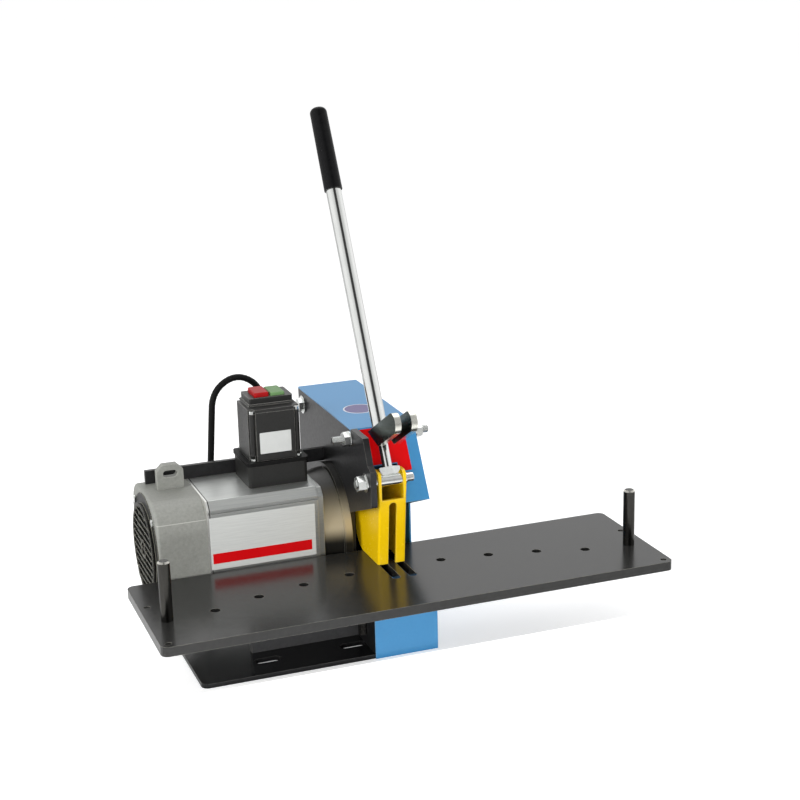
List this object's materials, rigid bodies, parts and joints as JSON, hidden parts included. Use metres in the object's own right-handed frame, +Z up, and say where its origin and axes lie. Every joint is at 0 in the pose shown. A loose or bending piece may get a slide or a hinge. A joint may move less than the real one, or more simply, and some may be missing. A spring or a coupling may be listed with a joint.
{
  "type": "hose cutting machine",
  "caption": "Bench hose cutter: motor-driven round knife under a hood, drilled table with bending pins, and a hand lever whose fork pushes the hose onto the knife.",
  "frame": {"origin": "middle of the footprint on the bench, without the cable's nodes", "axes": "+Z up, +X along the table away from the motor, +Y away from the operator; the knife turns in the plane X = 0"},
  "size_m": [0.66, 0.6011, 0.6772],
  "materials": {
    "black_paint": "gloss powder coat",
    "blue_paint": "satin powder coat",
    "yellow_paint": "gloss powder coat",
    "zinc": "bright zinc plate",
    "dark_steel": "oiled",
    "bright_steel": "ground",
    "knife_steel": "ground",
    "aluminium": "satin extrusion",
    "grey_cast": "painted casting",
    "dark_cast": "painted casting",
    "laminations": "bare sheet stack",
    "copper": "lacquered wire",
    "black_plastic": "fine texture",
    "black_rubber": "matt",
    "red_plastic": "gloss",
    "green_plastic": "gloss"
  },
  "bodies": {
    "frame": {"base_plate": "black_paint", "side_plate": "black_paint", "table_bracket": "black_paint", "table_plate": "black_paint", "rear_bar": "black_paint", "hood": "blue_paint", "lower_guard": "blue_paint", "tie_rod": "zinc", "tie_washers": "zinc", "m10_nuts": "zinc", "pivot_shaft": "zinc", "pivot_nut": "zinc", "pivot_washer": "zinc", "pivot_clip": "zinc", "hood_bolt": "zinc", "hood_bolt_washer": "zinc", "flange_screws": "zinc", "fan_cover_screws": "zinc", "box_screws": "zinc", "table_screws": "dark_steel", "table_stud": "dark_steel", "front_bearing": "bright_steel", "rear_bearing": "bright_steel", "motor_housing": "aluminium", "end_ring": "aluminium", "fan_cover": "grey_cast", "lifting_lug": "grey_cast", "rear_shield": "grey_cast", "front_shield": "dark_cast", "stator_core": "laminations", "stator_windings": "copper", "fan_grille": "black_plastic", "terminal_box": "black_plastic", "terminal_block": "black_plastic", "switch_cover": "black_plastic", "switch_block": "black_plastic", "contact_block": "black_plastic", "cable_gland": "black_plastic", "mains_plug": "black_plastic", "box_gasket": "black_rubber", "power_cable": "black_rubber", "cable_coil": "black_rubber"},
    "lever": {"lever_hub": "zinc", "lever_rod": "zinc", "lever_nut": "zinc", "lever_grip": "black_rubber", "fork_left": "black_paint", "fork_right": "black_paint"},
    "guard": {"blade_guard": "yellow_paint"},
    "spindle": {"motor_shaft": "bright_steel", "rotor": "laminations", "blade": "knife_steel", "blade_clamp_inner": "bright_steel", "blade_clamp_outer": "bright_steel", "blade_nut": "dark_steel", "cooling_fan": "black_plastic"},
    "left_pin": {"left_pin": "dark_steel"},
    "right_pin": {"right_pin": "dark_steel"},
    "red_button": {"red_button": "red_plastic"},
    "green_button": {"green_button": "green_plastic"}
  },
  "joints": [
    {"name": "lever_swing", "type": "hinge", "parent": "frame", "child": "lever", "pos_m": [0, -0.072, 0.233], "axis": [1, 0, 0], "range_deg": [0, 152]},
    {"name": "guard_swing", "type": "hinge", "parent": "frame", "child": "guard", "pos_m": [0, -0.072, 0.233], "axis": [1, 0, 0], "range_deg": [0, 22.8]},
    {"name": "spindle_turn", "type": "hinge", "parent": "frame", "child": "spindle", "pos_m": [0, 0.07, 0.136], "axis": [1, 0, 0], "continuous": true},
    {"name": "left_pin_lift", "type": "slide", "parent": "frame", "child": "left_pin", "axis": [0, 0, 1], "range_m": [0, 0.014]},
    {"name": "right_pin_lift", "type": "slide", "parent": "frame", "child": "right_pin", "axis": [0, 0, 1], "range_m": [0, 0.014]},
    {"name": "red_press", "type": "slide", "parent": "frame", "child": "red_button", "axis": [0, 0, -1], "range_m": [0, 0.003], "stiffness_N_per_m": 400, "springref_m": -0.002},
    {"name": "green_press", "type": "slide", "parent": "frame", "child": "green_button", "axis": [0, 0, -1], "range_m": [0, 0.003], "stiffness_N_per_m": 400, "springref_m": -0.002}
  ],
  "couplings": [
    {"joint": "guard_swing", "follows": "lever_swing", "ratio": 0.15}
  ]
}
